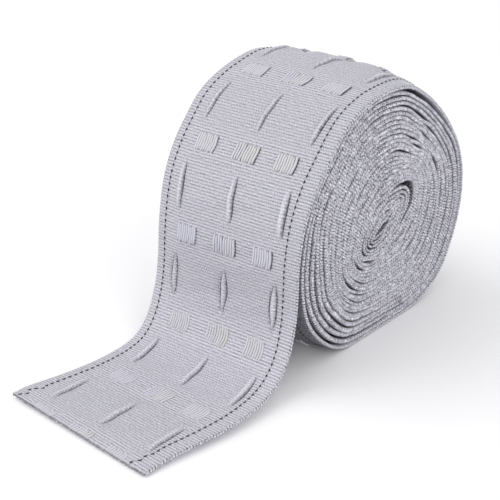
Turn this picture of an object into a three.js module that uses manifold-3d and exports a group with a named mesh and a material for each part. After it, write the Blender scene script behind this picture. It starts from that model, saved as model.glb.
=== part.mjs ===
// A roll of curtain heading tape: a stiff woven tape wound on itself without a core, its free end drawn
// down the front and out along the surface that the roll stands on.
// Millimetres. +Z is up, X runs across the tape from its left selvedge to its right one, and -Y points to
// the free end. The origin is on the surface, under the roll's flat spot.
import * as THREE from "three";
import { mergeVertices } from "three/addons/utils/BufferGeometryUtils.js";
import Module from "manifold-3d";

// The tape
const TAPE_WIDTH = 75;
const TAPE_THICKNESS = 1.5;
const FLOAT_HEIGHT = 0.8; // how far the panels of loose cords stand out of the face
const POCKET_HEIGHT = 0.6; // how far the woven hook pockets stand out of the face
const REPEAT = 37.2; // from one row of panels to the next

// The winding
const TURNS = 28;
const CORE_TURNS = 5.5; // turns of the flat bundle in the middle, wound before the roll grew round
const PITCH = 1.9; // from one turn to the next where they lie snug
const LOOSE_TURNS = 5; // outer turns that have sprung apart at the front
const LOOSE = { angle: 207, reach: 62, extra: 1.05 };
const SEAM_ANGLE = -62; // where the outermost turn goes in under the roll and becomes the second one
const ROLL_CENTRE = { y: 2.5, z: 50.5 };
const CROWN = { height: 2, slope: 17 }; // panels and pockets pile up and fatten the roll between its borders
const CORE = { y: 3.5, z: 47.3, long: 19, short: 10, slitLong: 9, slitShort: 1, tilt: 31 };

// Distance from the roll's centre to its outside, by the angle from the back (0) over the top (90) to the
// front (180) and the floor (270). The roll has sagged: it is widest low down and flattened above.
const RIM = [
  { angle: 0, radius: 54.9 },
  { angle: 15, radius: 52.8 },
  { angle: 30, radius: 50.0 },
  { angle: 45, radius: 48.4 },
  { angle: 60, radius: 48.5 },
  { angle: 75, radius: 50.0 },
  { angle: 90, radius: 50.2 },
  { angle: 105, radius: 50.2 },
  { angle: 120, radius: 49.2 },
  { angle: 135, radius: 47.5 },
  { angle: 150, radius: 48.4 },
  { angle: 165, radius: 50.2 },
  { angle: 180, radius: 51.9 },
  { angle: 195, radius: 54.6 },
  { angle: 210, radius: 57.5 },
  { angle: 225, radius: 58.0 },
  { angle: 240, radius: 57.0 },
  { angle: 255, radius: 52.7 },
  { angle: 270, radius: 50.9 },
  { angle: 285, radius: 52.7 },
  { angle: 300, radius: 55.7 },
  { angle: 315, radius: 57.8 },
  { angle: 330, radius: 56.8 },
  { angle: 345, radius: 56.1 },
];

// Where the outermost turn stands off the roll, at its left selvedge, its middle and its right selvedge.
const LIFTS = [
  { angle: 56, reach: 44, left: 1.2, middle: 4.4, right: 1.9 },
  { angle: 80, reach: 30, left: 2.2, middle: 1.1, right: 0 },
  { angle: 176, reach: 42, left: -0.3, middle: 0.3, right: 0.9 },
];

// The face of the free end at its left and right selvedge, as [y, z], from where it leaves the roll down
// to the surface and out to the cut. The crown is the share of the roll's crown that it still has.
const LEAVES_ROLL_AT = 188;
const FREE_END = [
  { left: [-52.7, 29.5], right: [-53.6, 29.5], crown: 0.8 },
  { left: [-54.2, 21.6], right: [-55.7, 22.0], crown: 0.5 },
  { left: [-57.0, 15.0], right: [-59.3, 15.1], crown: 0.2 },
  { left: [-60.5, 9.6], right: [-63.7, 10.4], crown: 0 },
  { left: [-65.2, 5.2], right: [-68.9, 7.1], crown: 0 },
  { left: [-71.0, 2.4], right: [-75.9, 5.0], crown: 0 },
  { left: [-78.0, 1.5], right: [-83.0, 4.1], crown: 0 },
  { left: [-86.0, 1.5], right: [-91.0, 3.5], crown: 0 },
  { left: [-96.0, 1.5], right: [-100.0, 3.0], crown: 0 },
  { left: [-108.0, 1.5], right: [-110.0, 2.8], crown: 0 },
  { left: [-121.0, 1.5], right: [-122.0, 2.4], crown: 0 },
  { left: [-135.4, 1.5], right: [-135.4, 1.5], crown: 0 },
];
const LEAD = 5; // the curve starts this far before the first row of panels, and the cut trims it
const CUT = { left: 1.1, right: -3.9 }; // the scissors ran askew to the weave
const CORNER_LIFT = { reach: 24, height: 1.1 }; // the left corner curls up a little
const DRIFT = { along: 45, reach: 50, by: 4.6 }; // the free end bows to the right on the surface
const SKEW = { rise: 2.8, from: 60, to: 180 }; // the free end's right side is pulled towards the roll

// One repeat of the weave along the tape, and one row of it across. A 1 is where a panel or a pocket
// stands out, and a row or column with neither is flat ground.
const ALONG = [
  { at: -2.3, panel: 0, pocket: 0 },
  { at: -1.5, panel: 1, pocket: 0 },
  { at: 4.5, panel: 1, pocket: 0 },
  { at: 5.3, panel: 0, pocket: 0 },
  { at: 10.8, panel: 0, pocket: 0 },
  { at: 12.2, panel: 0, pocket: 1 },
  { at: 17.3, panel: 0, pocket: 1 },
  { at: 22.4, panel: 0, pocket: 1 },
  { at: 27.6, panel: 0, pocket: 1 },
  { at: 29.0, panel: 0, pocket: 0 },
];
const ACROSS = [
  { at: 0.0, panel: 0, pocket: 0 },
  { at: 10.5, panel: 0, pocket: 0 },
  { at: 11.3, panel: 0.5, pocket: 1 },
  { at: 12.1, panel: 1, pocket: 0 },
  { at: 21.2, panel: 1, pocket: 0 },
  { at: 21.9, panel: 0, pocket: 0 },
  { at: 29.6, panel: 0, pocket: 0 },
  { at: 30.3, panel: 1, pocket: 0 },
  { at: 34.9, panel: 1, pocket: 0 },
  { at: 35.3, panel: 0, pocket: 0 },
  { at: 35.7, panel: 1, pocket: 0 },
  { at: 37.8, panel: 1, pocket: 0 },
  { at: 38.6, panel: 1, pocket: 1 },
  { at: 39.4, panel: 1, pocket: 0 },
  { at: 42.0, panel: 1, pocket: 0 },
  { at: 42.8, panel: 0, pocket: 0 },
  { at: 52.1, panel: 0, pocket: 0 },
  { at: 52.8, panel: 1, pocket: 0 },
  { at: 60.9, panel: 1, pocket: 0 },
  { at: 61.7, panel: 0, pocket: 0 },
  { at: 64.2, panel: 0, pocket: 0 },
  { at: 65.0, panel: 0, pocket: 1 },
  { at: 65.8, panel: 0, pocket: 0 },
  { at: 75.0, panel: 0, pocket: 0 },
];

// The groove that parts the turns on each end of the roll. Its outer rounds part single turns, and each
// round further in parts a group of them. A round is one way round the roll.
const GROOVE = { depth: 1.4, width: 0.5 };
const GROOVE_ROUNDS = [
  { rounds: 3, turnsEach: 1, steps: 34 },
  { rounds: 6, turnsEach: 3, steps: 26 },
  { rounds: 3, turnsEach: 1.55, steps: 18 },
];
// Where the groove gapes: round an angle and over a range of turns counted from the middle.
const GAPES = [
  { angle: 208, reach: 66, inner: 22, outer: 28, extra: 1.0 },
  { angle: 55, reach: 34, inner: 10, outer: 28, extra: 0.45 },
  { angle: 18, reach: 40, inner: 4.6, outer: 7.5, extra: 1.9 },
  { angle: 235, reach: 40, inner: 6, outer: 21, extra: 0.4 },
];

const BACK_COLUMNS = [0, 1, 5, 12, 16, 20, 23]; // the places in ACROSS that the plainer surfaces keep
const OUTLINE_STEP = 3; // degrees between the points of the roll's outline
const PATH_STEP = 6; // degrees between the points of the outermost turn's curve
const SHORTEST_ROW = 1; // the least from one row of points to the next at the sheet's two ends
const SEAM_GAP = 0.5; // between the outermost turn's inner end and the step where it goes on
const SLACK = 0.55; // how much further than a snug turn the outermost one lies from the roll

const radians = THREE.MathUtils.degToRad;
const lerp = THREE.MathUtils.lerp;

// 1 at the middle of a stretch of angles, falling smoothly to 0 at its two ends.
function bump(angle, middle, reach) {
  const away = Math.abs(THREE.MathUtils.euclideanModulo(angle - middle + 180, 360) - 180);
  return away < reach ? 0.5 + 0.5 * Math.cos((Math.PI * away) / reach) : 0;
}

function smooth(x) {
  return THREE.MathUtils.smoothstep(x, 0, 1);
}

// How much fatter the roll is at one place across the tape, measured from its left selvedge.
function crown(at) {
  const inwards = Math.min(at, TAPE_WIDTH - at);
  return CROWN.height * smooth(inwards / CROWN.slope);
}

// The rim's radius at any angle, on a smooth closed curve through the table.
function rimRadius(angle) {
  const spacing = 360 / RIM.length;
  const at = THREE.MathUtils.euclideanModulo(angle, 360) / spacing;
  const i = Math.floor(at);
  const row = (k) => RIM[THREE.MathUtils.euclideanModulo(k, RIM.length)].radius;
  const t = at - i;
  const slopeHere = (row(i + 1) - row(i - 1)) / 2;
  const slopeNext = (row(i + 2) - row(i)) / 2;
  const rest = row(i + 1) - row(i);
  const bend = 3 * rest - 2 * slopeHere - slopeNext;
  const twist = slopeHere + slopeNext - 2 * rest;
  return row(i) + t * (slopeHere + t * (bend + t * twist));
}

// The bundle in the middle is a flat oval, which grows from a slit.
function coreRadius(turn, angle) {
  const grown = turn / CORE_TURNS;
  const long = lerp(CORE.slitLong, CORE.long, grown);
  const short = lerp(CORE.slitShort, CORE.short, grown);
  const a = radians(angle - CORE.tilt);
  return (long * short) / Math.hypot(short * Math.cos(a), long * Math.sin(a));
}

// A point of the section, as (y, z): the turn counted from the middle, the angle, and a shift outwards.
function onTurn(turn, angle, shift = 0) {
  const a = radians(angle);
  const pitch = PITCH + LOOSE.extra * bump(angle, LOOSE.angle, LOOSE.reach);
  const snug = TURNS - LOOSE_TURNS;
  let y = CORE.y;
  let z = CORE.z;
  let radius;
  if (turn <= CORE_TURNS) {
    radius = coreRadius(Math.max(turn, 0), angle);
  } else {
    const out = Math.min((turn - CORE_TURNS) / (snug - CORE_TURNS), 1);
    y = lerp(CORE.y, ROLL_CENTRE.y, out);
    z = lerp(CORE.z, ROLL_CENTRE.z, out);
    const snugRadius = rimRadius(angle) - LOOSE_TURNS * pitch;
    radius = lerp(coreRadius(CORE_TURNS, angle), snugRadius, out) + Math.max(turn - snug, 0) * pitch;
  }
  radius += shift;
  return new THREE.Vector2(y + radius * Math.cos(a), Math.max(z + radius * Math.sin(a), 0));
}

// The angle and the turn that the winding has reached, some degrees inwards of the seam.
function wound(degrees) {
  return { angle: SEAM_ANGLE - degrees, turn: TURNS - degrees / 360 };
}

function geometryOf(points, triangles) {
  const geometry = new THREE.BufferGeometry().setFromPoints(points);
  geometry.setIndex(triangles);
  geometry.computeVertexNormals();
  return geometry;
}

// A section drawn as (y, z), drawn out along X from one value to another.
function across(outline, from, to) {
  const geometry = new THREE.ExtrudeGeometry(new THREE.Shape(outline), {
    depth: to - from,
    bevelEnabled: false,
    steps: 1,
  });
  geometry.translate(0, 0, from);
  geometry.applyMatrix4(new THREE.Matrix4().set(0, 0, 1, 0, 1, 0, 0, 0, 0, 1, 0, 0, 0, 0, 0, 1));
  return geometry;
}

const wasm = await Module();
wasm.setup();

function toSolid(geometry) {
  const bare = geometry.clone();
  bare.deleteAttribute("normal");
  bare.deleteAttribute("uv");
  const merged = mergeVertices(bare, 1e-4);
  return new wasm.Manifold(
    new wasm.Mesh({
      numProp: 3,
      vertProperties: merged.attributes.position.array,
      triVerts: new Uint32Array(merged.index.array),
    }),
  );
}

function fromSolid(solid) {
  const { vertProperties, triVerts } = solid.getMesh();
  const geometry = new THREE.BufferGeometry();
  geometry.setAttribute("position", new THREE.BufferAttribute(vertProperties, 3));
  geometry.setIndex(new THREE.BufferAttribute(triVerts, 1));
  geometry.computeVertexNormals();
  return geometry;
}

// The roll's outside, one way round from the seam, where it steps in by one turn.
function rollOutline(bulge) {
  const points = [];
  for (let degrees = 0; degrees <= 360; degrees += OUTLINE_STEP) {
    const { angle, turn } = wound(degrees);
    points.push(onTurn(turn, angle, bulge - SLACK));
  }
  return points;
}

// The whole wound form, as outlines joined across the tape, each with its share of the crown.
function woundForm() {
  const places = BACK_COLUMNS.map((column) => ACROSS[column].at);
  const outlines = places.map((at) => rollOutline(crown(at)));
  const round = outlines[0].length;
  const points = places.flatMap((at, k) =>
    outlines[k].map((p) => new THREE.Vector3(at - TAPE_WIDTH / 2, p.x, p.y)),
  );
  const triangles = [];
  for (let k = 0; k + 1 < places.length; k++)
    for (let i = 0; i < round; i++) {
      const a = k * round + i;
      const b = k * round + ((i + 1) % round);
      triangles.push(a, a + round, b, b, a + round, b + round);
    }
  const farEnd = (places.length - 1) * round;
  for (const [a, b, c] of THREE.ShapeUtils.triangulateShape(outlines[0], [])) {
    triangles.push(a, c, b);
    triangles.push(farEnd + a, farEnd + b, farEnd + c);
  }
  return geometryOf(points, triangles);
}

function gape(turn, angle) {
  let width = GROOVE.width;
  for (const { angle: middle, reach, inner, outer, extra } of GAPES)
    if (turn > inner && turn < outer) width += extra * bump(angle, middle, reach);
  return width;
}

// The groove's two edges, from the seam inwards.
function grooveOutline() {
  const outside = [];
  const inside = [];
  let degrees = OUTLINE_STEP;
  let turn = wound(degrees + 360).turn;
  const add = () => {
    const { angle } = wound(degrees);
    outside.push(onTurn(turn, angle));
    inside.push(onTurn(turn, angle, -gape(turn, angle)));
  };
  add();
  for (const { rounds, turnsEach, steps } of GROOVE_ROUNDS)
    for (let i = 0; i < rounds * steps; i++) {
      degrees += 360 / steps;
      turn -= turnsEach / steps;
      add();
    }
  return [...outside, ...inside.reverse()];
}

// The wound tape, all but its outermost turn, which is loose. One solid of its wound form.
function woundRoll(material) {
  const half = TAPE_WIDTH / 2;
  const body = toSolid(woundForm());
  const groove = grooveOutline();
  const left = toSolid(across(groove, -half - 1, -half + GROOVE.depth));
  const right = toSolid(across(groove, half - GROOVE.depth, half + 1));
  const mesh = new THREE.Mesh(fromSolid(body.subtract(left).subtract(right)), material);
  mesh.name = "wound_roll";
  return mesh;
}

// The outermost turn's outer face, from the cut end in to the seam, at one place across the tape.
function faceCurve(at) {
  const share = at / TAPE_WIDTH;
  const points = FREE_END.map(({ left, right, crown: kept }) => {
    const y = lerp(left[0], right[0], share) - kept * crown(at);
    return new THREE.Vector3(0, y, lerp(left[1], right[1], share));
  }).reverse();
  const steps = Math.round((LEAVES_ROLL_AT - SEAM_ANGLE) / PATH_STEP);
  for (let i = 0; i <= steps; i++) {
    const angle = lerp(LEAVES_ROLL_AT, SEAM_ANGLE, i / steps);
    let shift = crown(at);
    for (const lift of LIFTS) {
      const arch = 4 * share * (1 - share) * (lift.middle - (lift.left + lift.right) / 2);
      shift += (lerp(lift.left, lift.right, share) + arch) * bump(angle, lift.angle, lift.reach);
    }
    const p = onTurn(TURNS + (angle - SEAM_ANGLE) / 360, angle, shift);
    points.push(new THREE.Vector3(0, p.x, p.y));
  }
  const curve = new THREE.CatmullRomCurve3(points, false, "centripetal");
  curve.arcLengthDivisions = 3000;
  return curve;
}

// How far along the curve a thread of the weave lies, at one place across the tape.
function threadAt(along, share) {
  const slack = 1 - smooth((along - SKEW.from) / (SKEW.to - SKEW.from));
  return along + SKEW.rise * slack * (share - 0.5);
}

// The outermost turn and the free end, as one sheet with its panels and pockets raised on its face.
function looseEnd(material) {
  const curves = ACROSS.map(({ at }) => faceCurve(at));
  const reach = Math.min(...curves.map((curve) => curve.getLength())) - LEAD;

  const rows = [{ end: "cut", panel: 1, pocket: 0 }];
  for (let k = 0; k * REPEAT < reach; k++)
    for (const { at, panel, pocket } of ALONG) {
      const along = k * REPEAT + at;
      if (along > CUT.left + SHORTEST_ROW && along < reach - SHORTEST_ROW)
        rows.push({ along, panel, pocket });
    }
  rows.push({ end: "seam", panel: 0, pocket: 0 });

  const face = [];
  const back = [];
  for (const row of rows)
    for (const [column, { at, panel, pocket }] of ACROSS.entries()) {
      const share = at / TAPE_WIDTH;
      const length = curves[column].getLength();
      const along = row.end === "cut" ? lerp(CUT.left, CUT.right, share) : row.along;
      const distance = row.end === "seam" ? length - SEAM_GAP : LEAD + threadAt(along, share);
      const p = curves[column].getPointAt(distance / length);
      const t = curves[column].getTangentAt(distance / length);
      const outwards = new THREE.Vector3(0, -t.z, t.y);
      const fromDrift = Math.min(Math.abs(distance - LEAD - DRIFT.along) / DRIFT.reach, 1);
      p.x = at - TAPE_WIDTH / 2 + DRIFT.by * (0.5 + 0.5 * Math.cos(Math.PI * fromDrift));
      p.z += CORNER_LIFT.height * (1 - share) * smooth(1 - distance / CORNER_LIFT.reach);
      const raised = Math.max(FLOAT_HEIGHT * row.panel * panel, POCKET_HEIGHT * row.pocket * pocket);
      face.push(p.clone().addScaledVector(outwards, raised));
      if (BACK_COLUMNS.includes(column)) {
        const under = p.clone().addScaledVector(outwards, -TAPE_THICKNESS);
        under.z = Math.max(under.z, 0);
        back.push(under);
      }
    }

  const columns = ACROSS.length;
  const backColumns = BACK_COLUMNS.length;
  const triangles = [];
  const quad = (a, b, c, d) => triangles.push(a, b, c, a, c, d);
  for (let i = 0; i + 1 < rows.length; i++) {
    for (let j = 0; j + 1 < columns; j++) {
      const a = i * columns + j;
      quad(a, a + 1, a + 1 + columns, a + columns);
    }
    const under = face.length + i * backColumns;
    for (let j = under; j + 1 < under + backColumns; j++)
      quad(j, j + backColumns, j + backColumns + 1, j + 1);
    const underEnd = under + backColumns - 1;
    quad(i * columns, (i + 1) * columns, under + backColumns, under);
    quad((i + 1) * columns - 1, underEnd, underEnd + backColumns, (i + 2) * columns - 1);
  }
  // The cut edge, and the edge at the seam, which faces the other way.
  for (const row of [0, rows.length - 1]) {
    const edge = (a, b, c) => triangles.push(...(row === 0 ? [a, b, c] : [a, c, b]));
    for (let k = 0; k + 1 < backColumns; k++) {
      const under = face.length + row * backColumns + k;
      for (let j = BACK_COLUMNS[k]; j < BACK_COLUMNS[k + 1]; j++)
        edge(under, row * columns + j + 1, row * columns + j);
      edge(under, under + 1, row * columns + BACK_COLUMNS[k + 1]);
    }
  }
  const mesh = new THREE.Mesh(geometryOf([...face, ...back], triangles), material);
  mesh.name = "loose_end";
  return mesh;
}

const wovenTape = new THREE.MeshStandardMaterial({ color: 0xd3d2dc, roughness: 0.85, metalness: 0 });
const wovenEdges = new THREE.MeshStandardMaterial({ color: 0xc6c5cd, roughness: 0.9, metalness: 0 });

const roll = new THREE.Group();
roll.add(woundRoll(wovenEdges), looseEnd(wovenTape));
export default roll;
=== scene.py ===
import math

import bpy
import numpy as np
from mathutils import Matrix, Vector


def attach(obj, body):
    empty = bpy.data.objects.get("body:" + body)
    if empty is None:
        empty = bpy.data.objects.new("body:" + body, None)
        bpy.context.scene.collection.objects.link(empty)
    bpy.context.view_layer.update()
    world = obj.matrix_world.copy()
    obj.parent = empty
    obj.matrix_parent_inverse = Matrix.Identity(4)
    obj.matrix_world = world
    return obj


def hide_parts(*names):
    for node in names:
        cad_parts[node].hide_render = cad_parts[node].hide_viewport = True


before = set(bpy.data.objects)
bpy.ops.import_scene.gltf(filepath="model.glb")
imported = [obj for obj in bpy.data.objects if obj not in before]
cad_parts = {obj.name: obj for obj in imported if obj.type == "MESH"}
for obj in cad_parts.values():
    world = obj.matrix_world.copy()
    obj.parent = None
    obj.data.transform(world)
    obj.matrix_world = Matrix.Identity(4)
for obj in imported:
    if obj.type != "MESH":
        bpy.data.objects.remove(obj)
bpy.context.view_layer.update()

# The camera stands to the right of the free end and looks down on the roll, as a hand-held camera would,
# turned a little. The lens is a short telephoto, so the far end of the roll shrinks only slightly.
azimuth = math.radians(43.008)
elevation = math.radians(25.594)
roll = math.radians(-1.823)
target = Vector((0.00764, -0.045, 0.04347))
distance = 0.45672
back = Vector(
    (
        math.sin(azimuth) * math.cos(elevation),
        -math.cos(azimuth) * math.cos(elevation),
        math.sin(elevation),
    )
)
level = (-back).cross(Vector((0, 0, 1))).normalized()
upright = back.cross(level)
right = level * math.cos(roll) + upright * math.sin(roll)
up = upright * math.cos(roll) - level * math.sin(roll)
camera_data = bpy.data.cameras.new("camera")
camera_data.sensor_width = 36
camera_data.lens = 84.85
camera = bpy.data.objects.new("camera", camera_data)
facing = Matrix((right, up, back)).transposed().to_4x4()
camera.matrix_world = Matrix.Translation(target + back * distance) @ facing
bpy.context.scene.collection.objects.link(camera)
bpy.context.scene.camera = camera

# The tape's outermost turn and its free end: one stiff ribbed tape with three rows of woven hook pockets.
# Its weft ribs run across it, bold along its borders and beside the panels, fine between the pockets. It
# lies loose on the roll, arches clear of it at the top, and runs down the front and out to a cut made askew.
tape_width = 75.0
thickness = 1.45
rib = 1.25  # from one weft rib to the next
crown_height, crown_reach = 2.0, 17
# How the tape is wound: it starts in a flat bundle, grows round over its snug turns, and has sprung apart
# at the front in its outer ones. Angles go from the roll's back over its top to its front.
turns = 28
core_turns = 5.5
snug_turns = 23
seam_angle = -62
snug_pitch = 1.9  # from one turn to the next
sprung_by, sprung_at, sprung_reach = 1.05, 207, 62
bundle_start = (9.0, 1.0)  # half its length and half its thickness, at the tape's inner end
bundle_end = (19.0, 10.0)
bundle_tilt = 31
bundle_centre = (3.5, 47.3)  # y, z
roll_centre = (2.5, 50.5)
# The rim's radius, each 15 degrees. The roll has sagged: it is widest low down, and flat where it stands.
rim_radii = np.array(
    [54.9, 52.8, 50.0, 48.4, 48.5, 50.0, 50.2, 50.2, 49.2, 47.5, 48.4, 50.2]
    + [51.9, 54.6, 57.5, 58.0, 57.0, 52.7, 50.9, 52.7, 55.7, 57.8, 56.8, 56.1]
)


def blend(a, b, share):
    return a + (b - a) * share


def smooth(x):
    x = np.clip(x, 0, 1)
    return x * x * (3 - 2 * x)


def bump(angle, middle, reach):
    """1 at a middle angle, falling to 0 at a reach to both sides of it."""
    away = np.abs((angle - middle + 180) % 360 - 180)
    return np.where(away < reach, 0.5 + 0.5 * np.cos(np.pi * away / reach), 0)


def crown(across):
    """How far the middle of the tape stands out past its two selvedges."""
    return crown_height * smooth(np.minimum(across, tape_width - across) / crown_reach)


def rim(angle):
    """The rim's radius at an angle, on a smooth closed line through its radii."""
    at = (angle % 360) / (360 / len(rim_radii))
    i = np.floor(at).astype(int)
    t = at - i
    before, here, after, beyond = (rim_radii[(i + k) % len(rim_radii)] for k in (-1, 0, 1, 2))
    slope_here = (after - before) / 2
    slope_next = (beyond - here) / 2
    rest = after - here
    bend = 3 * rest - 2 * slope_here - slope_next
    twist = slope_here + slope_next - 2 * rest
    return here + t * (slope_here + t * (bend + t * twist))


def on_turn(turn, angle, shift=0.0):
    """Points (y, z) on the tape's face, by turns counted from its inner end, moved out by a shift."""
    pitch = snug_pitch + sprung_by * bump(angle, sprung_at, sprung_reach)
    grown = np.clip(turn / core_turns, 0, 1)
    long = blend(bundle_start[0], bundle_end[0], grown)
    short = blend(bundle_start[1], bundle_end[1], grown)
    a = np.radians(angle - bundle_tilt)
    core = long * short / np.hypot(short * np.cos(a), long * np.sin(a))
    out = np.clip((turn - core_turns) / (snug_turns - core_turns), 0, 1)
    snug = rim(angle) - (turns - snug_turns) * pitch
    radius = blend(core, snug, out) + np.maximum(turn - snug_turns, 0) * pitch + shift
    y = blend(bundle_centre[0], roll_centre[0], out) + radius * np.cos(np.radians(angle))
    z = blend(bundle_centre[1], roll_centre[1], out) + radius * np.sin(np.radians(angle))
    return np.stack([y, np.maximum(z, 0)], -1)


def lofted(name, tubes, values):
    """One mesh of closed tubes, each a grid of points (rows, ring, 3) in millimetres, with its ends closed.
    values are the numbers kept at each point, by attribute name, each with a grid for each tube."""
    points = []
    quads = []
    ends = []
    start = 0
    for grid in tubes:
        rows, ring, _ = grid.shape
        points.append(grid.reshape(-1, 3))
        index = start + np.arange(rows * ring).reshape(rows, ring)
        beside = np.roll(index, -1, axis=1)
        quads.append(np.stack([index[:-1], beside[:-1], beside[1:], index[1:]], -1).reshape(-1, 4))
        ends.append(index[0][::-1])
        ends.append(index[-1])
        start += rows * ring
    points = np.concatenate(points) / 1000
    quads = np.concatenate(quads)
    mesh = bpy.data.meshes.new(name)
    mesh.vertices.add(len(points))
    mesh.vertices.foreach_set("co", points.astype(np.float32).ravel())
    corners = np.concatenate([quads.ravel(), *ends])
    sizes = np.concatenate([np.full(len(quads), 4), [len(end) for end in ends]])
    mesh.loops.add(len(corners))
    mesh.loops.foreach_set("vertex_index", corners.astype(np.int32))
    mesh.polygons.add(len(sizes))
    mesh.polygons.foreach_set("loop_start", (np.cumsum(sizes) - sizes).astype(np.int32))
    mesh.polygons.foreach_set("use_smooth", np.arange(len(sizes)) < len(quads))
    for key, grids in values.items():
        rows_of_values = [np.asarray(g, float).reshape(t.size // 3, -1) for g, t in zip(grids, tubes)]
        flat = np.concatenate(rows_of_values)
        kind, field = ("FLOAT", "value") if flat.shape[1] == 1 else ("FLOAT_VECTOR", "vector")
        mesh.attributes.new(key, kind, "POINT").data.foreach_set(field, flat.astype(np.float32).ravel())
    mesh.update(calc_edges=True)
    mesh.validate()
    made = bpy.data.objects.new(name, mesh)
    bpy.context.scene.collection.objects.link(made)
    return made


# The angles where the tape leaves the roll, and where woven_tape ends, in the second turn.
leaves_roll_at, winds_in_to = 188, -204
points_round = 67
steps_between = 16
repeat = 37.2  # from one row of panels to the next
lead = 5  # how far the line of the tape's face goes on past its cut
free_end = [
    # left y, left z, right y, right z, share of the crown
    (-52.7, 29.5, -53.6, 29.5, 0.8),
    (-54.2, 21.6, -55.7, 22.0, 0.5),
    (-57.0, 15.0, -59.3, 15.1, 0.2),
    (-60.5, 9.6, -63.7, 10.4, 0),
    (-65.2, 5.2, -68.9, 7.1, 0),
    (-71.0, 2.4, -75.9, 5.0, 0),
    (-78.0, 1.5, -83.0, 4.1, 0),
    (-86.0, 1.5, -91.0, 3.5, 0),
    (-96.0, 1.5, -100.0, 3.0, 0),
    (-108.0, 1.5, -110.0, 2.8, 0),
    (-121.0, 1.5, -122.0, 2.4, 0),
    (-135.4, 1.5, -135.4, 1.5, 0),
]
lifts = [
    # angle, reach, off the roll at the left, in the middle, at the right
    (56, 44, 1.2, 4.0, 1.0),
    (80, 30, 2.2, 1.1, 0),
    (176, 42, -0.3, 0.3, 0.9),
]


def through(points, steps):
    """A smooth line through points, with some steps from each point to the next."""
    spaced = np.vstack([2 * points[0] - points[1], points, 2 * points[-1] - points[-2]])
    before, here, after, beyond = (spaced[k : len(spaced) - 3 + k, None] for k in range(4))
    first, middle, last = (
        np.sqrt(np.linalg.norm(b - a, axis=-1, keepdims=True))
        for a, b in ((before, here), (here, after), (after, beyond))
    )
    slope_here = (here - before) / first - (after - before) / (first + middle) + (after - here) / middle
    slope_next = (after - here) / middle - (beyond - here) / (middle + last) + (beyond - after) / last
    slope_here *= middle
    slope_next *= middle
    t = (np.arange(steps) / steps)[None, :, None]
    bend = 3 * (after - here) - 2 * slope_here - slope_next
    twist = 2 * (here - after) + slope_here + slope_next
    line = here + t * (slope_here + t * (bend + t * twist))
    return np.vstack([line.reshape(-1, 2), points[-1:]])


def face_line(across):
    """The tape's face from its cut inwards: points (y, z), and how far along each lies."""
    share = across / tape_width
    table = np.array(free_end)
    y = blend(table[:, 0], table[:, 2], share) - table[:, 4] * crown(across)
    z = blend(table[:, 1], table[:, 3], share)
    free = np.stack([y, z], -1)
    angles = np.linspace(leaves_roll_at, winds_in_to, points_round)
    shift = np.full(len(angles), crown(across))
    for middle, reach, at_left, in_middle, at_right in lifts:
        arch = 4 * share * (1 - share) * (in_middle - (at_left + at_right) / 2)
        lift = blend(at_left, at_right, share) + arch
        shift += lift * bump(angles, middle, reach) * (angles > seam_angle)
    wound = on_turn(turns + (angles - seam_angle) / 360, angles, shift)
    line = through(np.vstack([free[::-1], wound]), steps_between)
    along = np.concatenate([[0], np.cumsum(np.linalg.norm(np.diff(line, axis=0), axis=1))])
    return line, along


top_at, top_reach = 215, 17
dips = (21.0, 42.0, 60.8)  # at the right of the panels at the roll's top
dip_depth, dip_reach = 2.0, 5


def swell(across, along):
    """How far the cloth heaves: nowhere quite flat, and pulled in beside the panels at the roll's top."""
    heave = 0.3 * np.sin(0.29 * along + 0.17 * across) * np.sin(0.11 * along - 0.31 * across + 1)
    heave = heave + 0.12 * np.sin(0.73 * along - 0.13 * across + 2)
    heave = heave * math.sin(math.pi * across / tape_width)
    at_the_top = smooth(1 - np.abs(along - top_at) / top_reach)
    for dip in dips:
        heave = heave - dip_depth * at_the_top * smooth(1 - abs(across - dip) / dip_reach)
    return heave


# On the surface the tape has slid to the right. Up to the roll's top it swings a little from side to side,
# and its rows of panels lie askew there. The cut's left corner stands up a little off the surface.
slid_by, slid_at, slid_reach = 4.6, 45, 50
swing_left, swing_right, swing_at, swing_length = 0.9, 0.4, 36, 40
swing_offset, swing_from, swing_until, swing_fade = 0.3, 20, 250, 40
askew_by, askew_from, askew_over = 2.8, 60, 120
corner_up, corner_reach = 1.1, 24
cut_down, cut_down_reach = 0.6, 12
tangent_reach = 0.4  # to both sides, for the direction along the face
face_lines = {}


def on_face(across, along):
    """Points on the tape's face, without its relief, and the directions out of it and along it."""
    share = across / tape_width
    if across not in face_lines:
        face_lines[across] = face_line(across)
    line, reached = face_lines[across]
    askew = smooth((along - askew_from) / askew_over)
    at = lead + along - askew_by * askew * (share - 0.5)
    y, z = (np.interp(at, reached, line[:, k]) for k in (0, 1))
    ahead_y, ahead_z = (np.interp(at + tangent_reach, reached, line[:, k]) for k in (0, 1))
    behind_y, behind_z = (np.interp(at - tangent_reach, reached, line[:, k]) for k in (0, 1))
    ty = ahead_y - behind_y
    tz = ahead_z - behind_z
    size = np.hypot(ty, tz)
    ty = ty / size
    tz = tz / size
    off_slide = np.minimum(np.abs(at - lead - slid_at) / slid_reach, 1)
    x = across - tape_width / 2 + slid_by * (0.5 + 0.5 * np.cos(np.pi * off_slide))
    swing = blend(swing_left, swing_right, share) * np.cos(np.pi * (along - swing_at) / swing_length)
    x = x + (swing_offset + swing) * smooth(along / swing_from) * smooth((swing_until - along) / swing_fade)
    z = z + corner_up * (1 - share) * smooth(1 - at / corner_reach)
    z = z - cut_down * smooth(1 - at / cut_down_reach)
    flat = np.zeros_like(y)
    out = np.stack([flat, -tz, ty], -1)
    return np.stack([x, y, z], -1) + out * swell(across, along)[:, None], out, np.stack([flat, ty, tz], -1)


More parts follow.
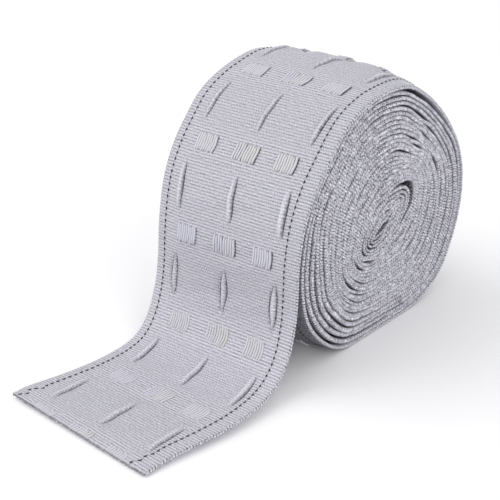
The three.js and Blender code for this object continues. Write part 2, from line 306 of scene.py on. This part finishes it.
# Places across the tape are from its left selvedge. Places along it are from a line just inside the cut, and
# a repeat further for each row.
pockets = (12.3, 39.8, 65.4)
pocket_middle, pocket_reach = 15.8, 9.3
panels = ((13.2, 23.0), (33.0, 38.0), (38.5, 44.2), (54.0, 62.8))
panel_from, panel_to = -6.5, 1.1
row_start = 10.5  # how far before that line its row's stretch begins
lip = [
    # from the pocket's line, pulled shut on the round, pressed to a tube, standing open
    (-2.5, 0.0, 0.0, 0.0),
    (-2.0, 0.0, 0.1, -0.6),
    (-1.6, 0.0, 0.5, -0.1),
    (-1.0, 0.4, 1.0, 0.6),
    (-0.4, 1.1, 1.05, 0.9),
    (0.1, 0.9, 0.8, 0.6),
    (0.35, -0.7, -0.4, 0.1),
    (0.65, -0.8, -1.0, -1.1),
    (0.95, 0.0, -0.4, -0.5),
    (1.4, 0.0, 0.0, 0.0),
]
# Each row of panels and pockets in turn from the cut. Towards its free end the tape was pressed flat.
shapes = [
    # way the pockets stand, how far they do, how far the panels stand out, how the pockets lean,
    # how bold the ribs between the pockets are
    (2, 0.7, 0.2, -0.17, 0.0),
    (2, 0.85, 0.25, -0.05, 0.0),
    (3, 1.0, 0.3, 0.0, 0.25),
    (2, 1.1, 1.0, -0.06, 0.8),
    (1, 1.0, 1.0, 0.06, 0.2),
]
left_columns = [0.3, 5.0, 7.9, 20.0, 22.9, 23.3, 24.0, 27.5, 32.4, 33.2, 38.0, 38.5]
right_columns = [44.2, 44.6, 45.3, 49.0, 53.4, 54.2, 59.5, 62.8, 63.2, 68.0, 72.0, 74.7]
pocket_columns = [line + row[0] for line in pockets for row in lip]
face_columns = np.array(sorted(left_columns + right_columns + pocket_columns))
back_columns = np.array([74.2, 67.0, 52.0, 23.0, 8.0, 0.8])
# Along a selvedge the loops' middle is painted lighter and its corners darker: painted highlight and painted
# shade.
selvedge_loops = [
    # share of the thickness, how far out, how light
    (0.1, -0.05, 0.85),
    (0.5, 0.3, 1.2),
    (0.9, -0.05, 0.85),
]
cut_left, cut_right, cut_reach = -0.3, -2.5, 12.0
# Near its ends a pocket's lips are drawn together by this share. One that stands open is drawn together more
# at its ends, and spread at its middle.
shut_by = 0.25
ajar_by, opened_by = 0.92, 1.12
shut_past_ends = 2.8
lean_reach, lean_fade, lean_past_ends = 6, 4, 5
fine_rib, bold_rib, rib_of_back = 0.14, 0.2, 0.25  # heights
bold_band, bold_border, bold_fade = 5.5, 8.0, 1.5
sunk_under_cords, pinched_beside, painted_shade_beside_panels = 0.15, 0.4, 0.65
lip_height, groove_depth = 1.2, 0.85
foot_bend, foot_reach, painted_foot_highlight = 66, 24, 0.07
covered_from, covered_dark = 350, 0.72
light_of_back = 1.6


def within(along):
    """Where a place lies in its own row's stretch."""
    return (along + row_start) % repeat - row_start


def row_number(along):
    """Which row of panels a place belongs to, counted from the cut."""
    return np.floor((along + row_start) / repeat)


def shape(along, column):
    """A column of the shapes table at each place. All rows past the last are like the last."""
    number = np.clip(row_number(along), 0, len(shapes) - 1).astype(int)
    return np.array(shapes, float)[number, column]


def inside(along):
    """1 at a pocket's middle and 0 at both its ends."""
    return np.clip(1 - ((within(along) - pocket_middle) / pocket_reach) ** 2, 0, 1)


def stretch(along):
    """How much of its full form a pocket has at each place."""
    return inside(along) ** 0.6


def drawn_in(across, along):
    """How far a pocket's lips are moved sideways: together near its two ends, and over where it leans."""
    shift = np.zeros_like(along)
    off_middle = within(along) - pocket_middle
    away = np.abs(off_middle) - pocket_reach
    fade = smooth(1 - away / shut_past_ends)
    for line in pockets:
        leaning = smooth((lean_reach - abs(across - line)) / lean_fade)
        leaning = leaning * smooth(1 - away / lean_past_ends)
        shift = shift + shape(along, 3) * off_middle * leaning
        if lip[0][0] < across - line < lip[-1][0]:
            shut = shut_by * (1 - stretch(along)) * fade
            ajar = (ajar_by - opened_by * inside(along)) * fade
            shift = shift + (line - across) * np.where(shape(along, 0) == 3, ajar, shut)
    return shift


def relief(across, along):
    """How far the face stands out, how light it is by painted light and shade, and how bold its ribs are, at
    a grid of places.
    """
    crest = np.sin(np.pi * along / rib) ** 2
    place = within(along)
    band = 1 - smooth((np.abs(place - (panel_from + panel_to) / 2) - bold_band) / bold_fade)
    border = 1 - smooth((np.minimum(across, tape_width - across) - bold_border) / bold_fade)
    bold = np.maximum(np.maximum(band, border), shape(along, 4))
    height = blend(fine_rib, bold_rib, bold) * crest
    light = np.ones_like(height)
    beside_panel = smooth((place - panel_from) / 0.6) * smooth((panel_to - place) / 0.6)
    for low, high in panels:
        under = smooth((across - low + 0.3) / 0.4) * smooth((high + 0.3 - across) / 0.4)
        pinched = smooth((across - high + 0.25) / 0.25) * smooth((high + 1.1 - across) / 0.7)
        lowered = sunk_under_cords * under + pinched_beside * pinched
        height = height - lowered * beside_panel * shape(along, 2)
        # Beside each panel's right edge the face dips, and is painted darker there: painted shade.
        light = light * (1 - painted_shade_beside_panels * pinched * beside_panel * shape(along, 2))
    slot = np.zeros_like(height)
    offsets = [row[0] for row in lip]
    for line in pockets:
        for way in (1, 2, 3):
            stands = np.interp(across - line, offsets, [row[way] for row in lip])
            slot = slot + stands * (shape(along, 0) == way) * stretch(along) * shape(along, 1)
    height = height * (1 - 0.9 * np.clip(slot, 0, 1)) + np.where(slot > 0, lip_height, groove_depth) * slot
    # Grooves beside the pocket lips are painted darker, painted shade, and the lips lighter, a painted
    # highlight.
    light = light * np.clip(1 + 1.1 * np.minimum(slot, 0) + 0.3 * np.maximum(slot, 0), 0.1, 1.35)
    # Its ribs are painted lighter in the bend at the foot of the roll, a painted highlight where the bend
    # faces up into the light. Its last part, under the outermost turn and behind the free end, is in painted
    # shade.
    light = light * (1 + painted_foot_highlight * smooth(1.4 - np.abs(along - foot_bend) / foot_reach))
    out_of_light = 1 - covered_dark * smooth((along - covered_from) / 10)
    bold = 0.5 * bold * (1 - np.clip(np.abs(slot) * 2, 0, 1)) - 0.5 * np.clip(slot, 0, 1)
    return height, light * out_of_light, bold


def tape_rows(first, last, per_rib):
    """Places along the tape, some to each rib."""
    return np.arange(round(first / rib * per_rib), round(last / rib * per_rib)) * rib / per_rib


shortest = min(face_line(x)[1][-1] for x in (0.0, tape_width / 2, tape_width))
rows = tape_rows(cut_right, shortest - lead - 4, 4)


def past_cut(across, along):
    """Places along the tape, those near its free end drawn together so that the first is on the cut."""
    cut = blend(cut_left, cut_right, across / tape_width)
    drawn = cut + (along - rows[0]) * (cut_reach - cut) / (cut_reach - rows[0])
    return np.where(along < cut_reach, drawn, along)


def loops(along, share):
    """The weft's loops along a selvedge: each leans from the face to the back by half a rib."""
    return 0.5 - 0.5 * np.cos(np.pi * (2 * along / rib + share))


# The tape is pressed thinner near its cut.
thinned_by, thinned_reach = 0.6, 12
tape_loops = 0.4  # how far a loop of its selvedge reaches out
cloth = thickness - thinned_by * smooth(1 - (rows + lead) / thinned_reach)
ring = []
weave = []
bold = []
heights, lights, boldness = relief(face_columns[None, :], rows[:, None])
for j, x in enumerate(face_columns):
    at, out, _ = on_face(x, past_cut(x, rows))
    at[:, 0] += drawn_in(x, rows)
    ring.append(at + out * heights[:, j, None])
    weave.append(np.stack([np.full_like(rows, x), rows, lights[:, j]], -1))
    bold.append(boldness[:, j])


def selvedge(x, outwards, sides):
    """The points down one selvedge, a column for each row of its table."""
    at, out, _ = on_face(x, past_cut(x, rows))
    for share, stands, light in sides:
        point = at - out * (cloth * share)[:, None]
        point[:, 0] += outwards * (stands + tape_loops * (loops(rows, share) - 0.5))
        ring.append(point)
        weave.append(np.stack([x + outwards * share * thickness + 0 * rows, rows, light + 0 * rows], -1))
        bold.append(1 + 0 * rows)


selvedge(tape_width, 1, selvedge_loops)
# The tape's back is painted lighter than its face: painted light, so the gaps under the arched turns are less
# dark.
for x in back_columns:
    at, out, _ = on_face(x, past_cut(x, rows))
    ring.append(at - out * (cloth - rib_of_back * np.sin(np.pi * rows / rib) ** 2)[:, None])
    weave.append(np.stack([np.full_like(rows, x), rows, np.full_like(rows, light_of_back)], -1))
    bold.append(0.5 + 0 * rows)
selvedge(0.0, -1, selvedge_loops[::-1])
grid = np.stack(ring, 1)
grid[..., 2] = np.maximum(grid[..., 2], 0)
woven_tape = lofted("woven_tape", [grid], {"weave": [np.stack(weave, 1)], "bold": [np.stack(bold, 1)]})


def linear(hex_colour):
    parts = [(hex_colour >> shift & 255) / 255 for shift in (16, 8, 0)]
    return [c / 12.92 if c <= 0.04045 else ((c + 0.055) / 1.055) ** 2.4 for c in parts] + [1.0]


def add(tree, kind, inputs=None, **settings):
    made = tree.nodes.new(kind)
    for key, value in settings.items():
        setattr(made, key, value)
    for socket, value in (inputs or {}).items():
        if isinstance(value, bpy.types.NodeSocket):
            tree.links.new(value, made.inputs[socket])
        else:
            made.inputs[socket].default_value = value
    return made


# Spun polyester, woven: matt, with a soft sheen at grazing angles. The hollows between ribs and inside the
# pockets are painted a colder, darker grey than the crests: painted shade.
polyester = bpy.data.materials.new("woven_polyester")
polyester.use_nodes = True
tree = polyester.node_tree
tree.nodes.clear()
where = add(tree, "ShaderNodeAttribute", attribute_name="weave")
parts = add(tree, "ShaderNodeSeparateXYZ", {"Vector": where.outputs["Vector"]})
bold_ribs = add(tree, "ShaderNodeAttribute", attribute_name="bold")
# Weft ribs lie 1.25 mm apart. Past the selvedge's edge they lean over by half a rib in the tape's thickness.
from_middle = add(tree, "ShaderNodeMath", {0: parts.outputs["X"], 1: tape_width / 2}, operation="SUBTRACT")
far_out = add(tree, "ShaderNodeMath", {0: from_middle.outputs[0]}, operation="ABSOLUTE")
out_by = add(tree, "ShaderNodeMath", {0: far_out.outputs[0], 1: tape_width / 2}, operation="SUBTRACT")
past_edge = add(tree, "ShaderNodeMath", {0: out_by.outputs[0], 1: 0.0}, operation="MAXIMUM")
lean = add(tree, "ShaderNodeMath", {0: past_edge.outputs[0], 1: math.pi / thickness}, operation="MULTIPLY")
rib_angle = add(
    tree,
    "ShaderNodeMath",
    {0: parts.outputs["Y"], 1: 2 * math.pi / rib, 2: lean.outputs[0]},
    operation="MULTIPLY_ADD",
)
rib_wave = add(tree, "ShaderNodeMath", {0: rib_angle.outputs[0]}, operation="COSINE")
valley = add(tree, "ShaderNodeMapRange", {"Value": rib_wave.outputs[0], "From Min": -0.3, "From Max": 1.0})
# Picks differ in tension, so for some millimetres a rib is lighter or darker than the next, and the hollow
# beside it deeper or less deep.
by_pick = add(
    tree, "ShaderNodeVectorMath", {0: where.outputs["Vector"], 1: (0.3, 0.75, 0.0)}, operation="MULTIPLY"
)
tension = add(tree, "ShaderNodeTexNoise", {"Vector": by_pick.outputs[0], "Scale": 1.0, "Detail": 2.0})
sunk = add(
    tree,
    "ShaderNodeMapRange",
    {"Value": bold_ribs.outputs["Fac"], "From Min": -0.5, "To Min": 0.2, "To Max": 0.58},
)
varied = add(tree, "ShaderNodeMath", {0: tension.outputs["Fac"], 1: 3.4, 2: -0.7}, operation="MULTIPLY_ADD")
# The hollows between ribs are darkened by this much: painted shade.
hollow = add(tree, "ShaderNodeMath", {0: valley.outputs[0], 1: sunk.outputs[0]}, operation="MULTIPLY")
uneven = add(tree, "ShaderNodeMath", {0: hollow.outputs[0], 1: varied.outputs[0]}, operation="MULTIPLY")
open_to_light = add(tree, "ShaderNodeMath", {0: 1.0, 1: uneven.outputs[0]}, operation="SUBTRACT")
ground = add(
    tree,
    "ShaderNodeMapRange",
    {"Value": bold_ribs.outputs["Fac"], "From Max": 0.5, "To Min": 0.83, "To Max": 0.87},
)
ribbed = add(
    tree, "ShaderNodeMath", {0: open_to_light.outputs[0], 1: ground.outputs[0]}, operation="MULTIPLY"
)
# The weave's third number is painted light and shade, from the relief, the selvedges and the tape's back.
shaded = add(tree, "ShaderNodeMath", {0: ribbed.outputs[0], 1: parts.outputs["Z"]}, operation="MULTIPLY")
# Between the pockets the warp ends show as dots 1.2 mm apart, set off by half from rib to rib.
warp_angle = add(tree, "ShaderNodeMath", {0: parts.outputs["X"], 1: 2 * math.pi / 1.2}, operation="MULTIPLY")
warp = add(tree, "ShaderNodeMath", {0: warp_angle.outputs[0]}, operation="SINE")
weft_angle = add(tree, "ShaderNodeMath", {0: parts.outputs["Y"], 1: math.pi / rib}, operation="MULTIPLY")
weft = add(tree, "ShaderNodeMath", {0: weft_angle.outputs[0]}, operation="SINE")
crossing = add(tree, "ShaderNodeMath", {0: warp.outputs[0], 1: weft.outputs[0]}, operation="MULTIPLY")
fine = add(
    tree,
    "ShaderNodeMapRange",
    {"Value": bold_ribs.outputs["Fac"], "From Max": 0.5, "To Min": 1.0, "To Max": 0.2},
)
dot = add(tree, "ShaderNodeMath", {0: crossing.outputs[0], 1: fine.outputs[0]}, operation="MULTIPLY")
# Single filaments are too fine to show: the grain is drawn 0.4 mm wide.
stretched = add(
    tree, "ShaderNodeVectorMath", {0: where.outputs["Vector"], 1: (2.4, 1.1, 0.0)}, operation="MULTIPLY"
)
grain = add(tree, "ShaderNodeTexNoise", {"Vector": stretched.outputs[0], "Scale": 1.0, "Detail": 2.0})
grain_low = add(tree, "ShaderNodeMath", {0: grain.outputs["Fac"], 1: 0.5}, operation="SUBTRACT")
dot_light = add(
    tree, "ShaderNodeMath", {0: dot.outputs[0], 1: 0.1, 2: shaded.outputs[0]}, operation="MULTIPLY_ADD"
)
tension_low = add(tree, "ShaderNodeMath", {0: tension.outputs["Fac"], 1: 0.5}, operation="SUBTRACT")
pick_light = add(
    tree,
    "ShaderNodeMath",
    {0: tension_low.outputs[0], 1: 0.4, 2: dot_light.outputs[0]},
    operation="MULTIPLY_ADD",
)
# The selvedge's loops are the loosest yarn, and the most uneven.
roughened = add(
    tree,
    "ShaderNodeMapRange",
    {"Value": bold_ribs.outputs["Fac"], "From Min": 0.5, "From Max": 1.0, "To Min": 1.1, "To Max": 2.8},
)
grain_light = add(
    tree, "ShaderNodeMath", {0: grain_low.outputs[0], 1: roughened.outputs[0]}, operation="MULTIPLY"
)
any_light = add(
    tree, "ShaderNodeMath", {0: grain_light.outputs[0], 1: pick_light.outputs[0]}, operation="ADD"
)
light = add(tree, "ShaderNodeMath", {0: any_light.outputs[0], 1: 0.0}, operation="MAXIMUM")
colour = add(
    tree,
    "ShaderNodeMix",
    {"Factor": light.outputs[0], "A": linear(0x34343C), "B": linear(0xCECDD7)},
    data_type="RGBA",
    clamp_factor=False,
)
relief_sum = add(
    tree, "ShaderNodeMath", {0: grain.outputs["Fac"], 1: 0.5, 2: dot.outputs[0]}, operation="MULTIPLY_ADD"
)
yarns = add(
    tree,
    "ShaderNodeBump",
    {"Strength": 0.6, "Distance": 0.00018, "Height": relief_sum.outputs[0]},
)
shader = add(
    tree,
    "ShaderNodeBsdfPrincipled",
    {
        "Base Color": colour.outputs["Result"],
        "Roughness": 0.78,
        "IOR": 1.5,
        "Specular IOR Level": 0.3,
        "Sheen Weight": 0.1,
        "Sheen Roughness": 0.5,
        "Normal": yarns.outputs["Normal"],
    },
)
add(tree, "ShaderNodeOutputMaterial", {"Surface": shader.outputs["BSDF"]})
woven_tape.data.materials.append(polyester)
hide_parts("loose_end")
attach(woven_tape, "root")

# The turns under the outermost one: the same tape, seen only by its edges. Each selvedge is a row of weft
# loops that lean by turns to the face and to the back, so an edge looks like a small zigzag.
gaps = [
    # turn, angle, reach, inwards, outwards, turns outwards over which it closes
    (5.6, 28, 66, 2.0, 2.0, 8),
    (5.7, -20, 44, 0.8, 0.7, 6),
    (4.6, 35, 62, 0.7, 0.4, 2),
    (3.6, 35, 60, 0.7, 0.4, 2),
    (2.6, 30, 60, 0.6, 0.4, 2),
    (25.2, 57, 13, 0.45, 0.45, 3),
    (23.8, 44, 12, 0.5, 0.5, 2),
    (21.8, 46, 14, 0.8, 0.8, 3),
    (18.8, 56, 17, 0.8, 0.8, 3),
    (17.8, 50, 12, 0.75, 0.75, 3),
    (19.1, 22, 12, 0.85, 0.85, 3),
    (14.9, 70, 22, 0.5, 0.5, 3),
    (15.3, 222, 16, 0.8, 0.8, 3),
    (9.3, 220, 20, 0.9, 0.9, 3),
    (7.3, 230, 20, 0.8, 0.8, 3),
    (5.3, 208, 18, 0.35, 0.35, 3),
    (24.3, 230, 14, 0.2, 0.2, 3),
    (25.3, 228, 12, 0.2, 0.1, 3),
]
pressed = ((145, 62), (310, 66))  # angle, reach
pressed_fatter = 0.35
puffed_at, puffed_reach = 212, 60
puffed_from, puffed_over = 21, 2  # turns
inner_thinner, outer_fatter = -0.3, 0.55
open_loops = 0.7  # how far a loop reaches out
set_back = 0.15  # how far in the edges of these turns lie from the outermost one's
# Light reaches the cloth's face where the outermost turn arches clear of it, and not further in.
unlit_face, lit_face, lit_from, lit_over = 0.12, 1.5, 27.2, 0.1
loosened_to = 22.0
inner_end = 0.05
overlap = 0.02  # of a turn, with the end of woven_tape
ahead_by = 0.002  # of a turn
chance = np.random.default_rng(3)


def slack(turn, angle):
    """How far a turn lies from where snug turns would put it."""
    wander = 2 * np.pi * turn
    shift = 0.14 * np.sin(5.37 * wander) + 0.09 * np.sin(11.83 * wander + 1)
    shift = shift + 0.08 * np.sin(2.61 * wander + 2)
    shift = shift * np.clip(turn / 8, 0.3, 1)
    for at, middle, reach, inwards, outwards, closes in gaps:
        opens_in = at if at < core_turns else 4
        inner = -inwards * np.clip(1 - (at - turn) / opens_in, 0, 1) * (turn < at)
        outer = outwards * np.clip(1 - (turn - at) / closes, 0, 1) * (turn >= at)
        shift = shift + (inner + outer) * bump(angle, middle, reach)
    return shift


def wound_strip(name, outer, inner, thick_out, thick_in):
    """The tape from one turn in to another, as a strip with looped edges."""
    turn = np.arange(outer, inner, -1 / 720)
    angle = seam_angle - (turns - turn) * 360
    edge = on_turn(turn, angle, slack(turn, angle))
    along = np.concatenate([[0], np.cumsum(np.linalg.norm(np.diff(edge, axis=0), axis=1))])
    at = tape_rows(0, along[-1], 3)
    turn = np.interp(at, along, turn)
    angle = seam_angle - (turns - turn) * 360
    base = on_turn(turn, angle, slack(turn, angle))
    next_turn = turn - ahead_by
    next_angle = angle - 360 * ahead_by
    ahead = on_turn(next_turn, next_angle, slack(next_turn, next_angle))
    tangent = ahead - base
    tangent /= np.linalg.norm(tangent, axis=1, keepdims=True)
    out = np.stack([-tangent[:, 1], tangent[:, 0]], -1)
    thick = blend(thick_in, thick_out, (turn - inner) / (outer - inner))
    # Pressed together at the upper front and low at the back, its turns leave no gap. Low at the front the
    # edges of the outer turns are puffed up, and those of the inner ones are thinner.
    thick = thick + pressed_fatter * np.maximum(*(bump(angle, *place) for place in pressed))
    puffed = blend(inner_thinner, outer_fatter, smooth((turn - puffed_from) / puffed_over))
    thick = thick + puffed * bump(angle, puffed_at, puffed_reach)
    # One pick's loop stands out further than the next one's, and comes earlier or later.
    picks = np.arange(at[-1] / rib + 2)
    lively = np.interp(at / rib, picks, chance.uniform(0.3, 1.6, len(picks)))
    early = np.interp(at / rib, picks, chance.uniform(-0.2, 0.2, len(picks)))
    crowned = np.clip(turn / turns, 0, 1)
    wander = 2 * np.pi * turn
    uneven = 0.2 * np.sin(2.39 * wander) + 0.15 * np.sin(7.13 * wander + 1)
    unlit = blend(unlit_face, lit_face, smooth((turn - lit_from) / lit_over))
    # Each corner of the section: across, share of the thickness, how far out at a selvedge, how light.
    # How light is painted: shade at the corners in the grooves between turns and deep in between turns, and
    # painted light on the face where the outermost turn arches clear.
    faces = [(0.4, 0.0, 0.4), (2.2, 0.0, unlit), (72.8, 0.0, unlit), (74.6, 0.0, 0.4)]
    rights = [(tape_width, *row) for row in selvedge_loops]
    backs = [(x, 1.0, light) for x, _, light in faces[::-1]]
    lefts = [(0.0, *row) for row in selvedge_loops[::-1]]
    section = []
    kept = []
    for across, share, *stands, light in faces + rights + backs + lefts:
        outwards = math.copysign(1, across - tape_width / 2)
        x = across - tape_width / 2 + outwards * (uneven - set_back)
        u = across + 0 * at
        if stands:
            x = x + outwards * (stands[0] + open_loops * lively * (loops(at + early, share) - 0.5))
            u = u + outwards * share * thickness
            light = light * (0.7 + 0.34 * lively)
        where = base + out * (crown(across) * crowned - share * thick)[:, None]
        section.append(np.stack([x, where[:, 0], np.maximum(where[:, 1], 0)], -1))
        kept.append(np.stack([u, at, light + 0 * at], -1))
    values = {"weave": [np.stack(kept, 1)], "bold": [np.ones((len(at), len(section)))]}
    strip = lofted(name, [np.stack(section, 1)], values)
    strip.data.materials.append(polyester)
    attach(strip, "root")
    return strip


starts_at = turns + (winds_in_to - seam_angle) / 360
loosened_turns = wound_strip("loosened_turns", starts_at + overlap, loosened_to, 1.5, 1.75)
wound_strip("snug_turns", loosened_to, core_turns, 1.75, 1.7)
wound_strip("core_bundle", core_turns, inner_end, 1.5, 1.0)
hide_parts("wound_roll")

# The panels: warp cords of plump spun polyester, some panels more ivory and some more lavender, that lie over
# the ribs side by side. They are woven in at both ends and stand proud in between, so that they spread a
# little.
cords = []
cord_tints_and_painted_shade = []
cord_pitch = 1.15
cord_sides = 8
cord_stations = 11
half_wide, half_thick = 0.56, 0.48
proud, woven_in = 0.7, 0.3
bulge_right, bulge_spread = 0.6, 0.5
panel_rows = 13
# How ivory the cords are, from 0, lavender, to 1: by panel, and more or less by row, over and over.
panel_tints = (0.25, 0.2, 0.65, 0.45)
row_tints = (-0.1, -0.1, 0.1, -0.4, 0.15, -0.1)
across_cord = np.arange(cord_sides) * 2 * math.pi / cord_sides
for (low, high), panel_tint in zip(panels, panel_tints):
    count = round((high - low) / cord_pitch)
    for place in range(count):
        x = low + (place + 0.5) * (high - low) / count
        for number in range(panel_rows):
            uneven = 0.4 * math.sin(2.3 * place + number)
            ends_at = number * repeat + np.array([panel_from, panel_to]) + uneven
            stations = np.linspace(max(ends_at[0], rows[0]), ends_at[1], cord_stations)
            if stations[-1] > rows[-1] - 2:
                continue
            t = np.linspace(-1, 1, cord_stations)
            at, out, _ = on_face(x, past_cut(x, stations))
            flattened = shapes[min(number, len(shapes) - 1)][2] ** 0.5
            rise = proud * (1 - t**4) * flattened - woven_in
            off_middle = (x - (low + high) / 2) / (high - low)
            bulge = (bulge_right + bulge_spread * off_middle) * (1 - t**2)
            tube = []
            for turned in across_cord:
                point = at + out * (rise + half_thick * math.sin(turned))[:, None]
                point[:, 0] += half_wide * math.cos(turned) + bulge
                point[:, 2] = np.maximum(point[:, 2], 0)
                tube.append(point)
            cords.append(np.stack(tube, 1)[:, ::-1])
            tint = panel_tint + row_tints[number % len(row_tints)] + 0.12 * math.sin(1.9 * place)
            # Each cord is painted darker on its lower side and at its ends: painted shade.
            light = (1 - 0.15 * t[:, None] ** 6) * (0.64 + 0.36 * np.sin(across_cord[::-1]))
            cord_tints_and_painted_shade.append(np.stack([np.full_like(light, tint), light, 0 * light], -1))
float_cords = lofted("float_cords", cords, {"yarn": cord_tints_and_painted_shade})
cord_yarn = bpy.data.materials.new("spun_polyester_yarn")
cord_yarn.use_nodes = True
tree = cord_yarn.node_tree
tree.nodes.clear()
yarn = add(tree, "ShaderNodeAttribute", attribute_name="yarn")
parts = add(tree, "ShaderNodeSeparateXYZ", {"Vector": yarn.outputs["Vector"]})
bleached = add(
    tree,
    "ShaderNodeMix",
    {"Factor": parts.outputs["X"], "A": linear(0xCDCCD8), "B": linear(0xD2D1D0)},
    data_type="RGBA",
)
# The yarn's second number darkens the colour towards grey: painted shade, on the cords and on the cut's yarn
# ends.
colour = add(
    tree,
    "ShaderNodeMix",
    {"Factor": parts.outputs["Y"], "A": linear(0x34343A), "B": bleached.outputs["Result"]},
    data_type="RGBA",
)
place = add(tree, "ShaderNodeTexCoord")
fibres = add(tree, "ShaderNodeTexNoise", {"Vector": place.outputs["Object"], "Scale": 2500.0, "Detail": 2.0})
fluff = add(tree, "ShaderNodeBump", {"Strength": 0.5, "Distance": 0.0001, "Height": fibres.outputs["Fac"]})
shader = add(
    tree,
    "ShaderNodeBsdfPrincipled",
    {
        "Base Color": colour.outputs["Result"],
        "Roughness": 0.85,
        "Specular IOR Level": 0.25,
        "Sheen Weight": 0.1,
        "Normal": fluff.outputs["Normal"],
    },
)
add(tree, "ShaderNodeOutputMaterial", {"Surface": shader.outputs["BSDF"]})
float_cords.data.materials.append(cord_yarn)
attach(float_cords, "root")

# The marker threads: one navy warp thread inside each selvedge, that shows as short dashes where it passes
# over every second rib. Near the cut they have worked loose and wander.
dashes = []
left_marker, right_marker = 4.5, 69.2
dash_reach = 0.85
dash_stations = 6
thread_wide, thread_thick, thread_rise = 0.28, 0.2, 0.3
left_wanders = [
    # from the cut, to the right
    (-2.5, -1.9),
    (-1.0, -1.3),
    (1.5, 0.6),
    (3.5, -1.4),
    (6.0, -0.5),
    (8.5, 1.4),
    (11.0, 0.3),
    (15.0, 0.0),
]
right_wanders = [
    # from the cut, to the right
    (-2.5, -2.2),
    (-1.0, -2.4),
    (1.5, -0.3),
    (3.5, -0.9),
    (6.0, 0.2),
    (15.0, 0.0),
]
for x, wanders in ((left_marker, left_wanders), (right_marker, right_wanders)):
    for middle in np.arange(-1, (rows[-1] - 2) / rib, 2) * rib:
        stations = middle + np.linspace(-dash_reach, dash_reach, dash_stations)
        t = np.linspace(-1, 1, dash_stations)
        astray = np.interp(stations, *zip(*wanders))
        at, out, _ = on_face(x, past_cut(x, stations))
        at[:, 0] += astray
        tube = []
        for turned in np.arange(6) * math.pi / 3:
            size = np.sqrt(np.clip(1.02 - t**2, 0, 1))
            point = at + out * (thread_rise + thread_thick * size * math.sin(turned))[:, None]
            point[:, 0] += thread_wide * size * math.cos(turned)
            point[:, 2] = np.maximum(point[:, 2], 0)
            tube.append(point)
        dashes.append(np.stack(tube, 1)[:, ::-1])
marker_threads = lofted("marker_threads", dashes, {})
navy = bpy.data.materials.new("navy_polyester_thread")
navy.use_nodes = True
tree = navy.node_tree
tree.nodes.clear()
place = add(tree, "ShaderNodeTexCoord")
fibres = add(tree, "ShaderNodeTexNoise", {"Vector": place.outputs["Object"], "Scale": 3000.0})
strands = add(tree, "ShaderNodeBump", {"Strength": 0.4, "Distance": 0.00005, "Height": fibres.outputs["Fac"]})
shader = add(
    tree,
    "ShaderNodeBsdfPrincipled",
    {"Base Color": linear(0x14161F), "Roughness": 0.6, "Normal": strands.outputs["Normal"]},
)
add(tree, "ShaderNodeOutputMaterial", {"Surface": shader.outputs["BSDF"]})
marker_threads.data.materials.append(navy)
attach(marker_threads, "root")

# The cut: scissors left the warp ends bare, so short ends of yarn stand out of the edge, uneven in length.
chance = np.random.default_rng(5)
ends = []
end_pitch = 0.9
for x in np.arange(0.8, tape_width - 0.6, end_pitch):
    first = past_cut(x, rows[:1])
    at, out, onwards = on_face(x, first)
    reach = 0.2 + 0.5 * chance.random()
    depth = cloth[0] * (0.2 + 0.6 * chance.random())
    lean = 0.3 * (chance.random() - 0.5)
    tube = []
    t = np.array([-0.6, 0.0, 0.6, 1.0])[:, None]
    size = np.array([0.22, 0.22, 0.2, 0.1])[:, None]
    for turned in np.arange(6) * math.pi / 3:
        point = at - out * depth - onwards * reach * t + out * size * math.sin(turned)
        point[:, 0] += size[:, 0] * math.cos(turned) + lean * t[:, 0]
        point[:, 2] = np.maximum(point[:, 2], 0)
        tube.append(point)
    ends.append(np.stack(tube, 1))
# The yarn ends at the cut are painted dark: painted shade.
shade = np.stack([np.zeros((4, 6)), np.full((4, 6), 0.35), np.zeros((4, 6))], -1)
cut_ends = lofted("cut_yarn_ends", ends, {"yarn": [shade for _ in ends]})
cut_ends.data.materials.append(cord_yarn)
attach(cut_ends, "root")

# The studio: a plain pale floor that runs on out of sight, even white light from all round, one large soft
# light high on the left, which leaves each pocket's right side in shade, and a weaker one on the right, for
# the roll's end.
floor_mesh = bpy.data.meshes.new("floor")
floor_reach, floor_height = 6, -0.0002  # metres
sides = ((-1, -1), (1, -1), (1, 1), (-1, 1))
floor_corners = [(x * floor_reach, y * floor_reach, floor_height) for x, y in sides]
floor_mesh.from_pydata(floor_corners, [], [(0, 1, 2, 3)])
floor = bpy.data.objects.new("floor", floor_mesh)
bpy.context.scene.collection.objects.link(floor)
paper = bpy.data.materials.new("white_paper")
paper.use_nodes = True
paper.node_tree.nodes["Principled BSDF"].inputs["Base Color"].default_value = linear(0xF7F7F8)
paper.node_tree.nodes["Principled BSDF"].inputs["Roughness"].default_value = 0.95
floor_mesh.materials.append(paper)

world = bpy.data.worlds.new("studio")
bpy.context.scene.world = world
world.use_nodes = True
world.node_tree.nodes["Background"].inputs["Color"].default_value = (1, 1, 1, 1)
world.node_tree.nodes["Background"].inputs["Strength"].default_value = 0.85
bpy.context.scene.view_settings.view_transform = "Standard"

aimed_at = Vector((0, -0.03, 0.05))
for name, place, size, watts in (
    ("key", (-0.9, -0.5, 1.1), 1.5, 9.5),
    ("fill", (1.3, -0.4, 0.6), 1.0, 5),
):
    lamp_data = bpy.data.lights.new(name, "AREA")
    lamp_data.size = size
    lamp_data.energy = watts
    lamp = bpy.data.objects.new(name, lamp_data)
    lamp.location = place
    lamp.rotation_euler = (aimed_at - Vector(place)).to_track_quat("-Z", "Y").to_euler()
    bpy.context.scene.collection.objects.link(lamp)
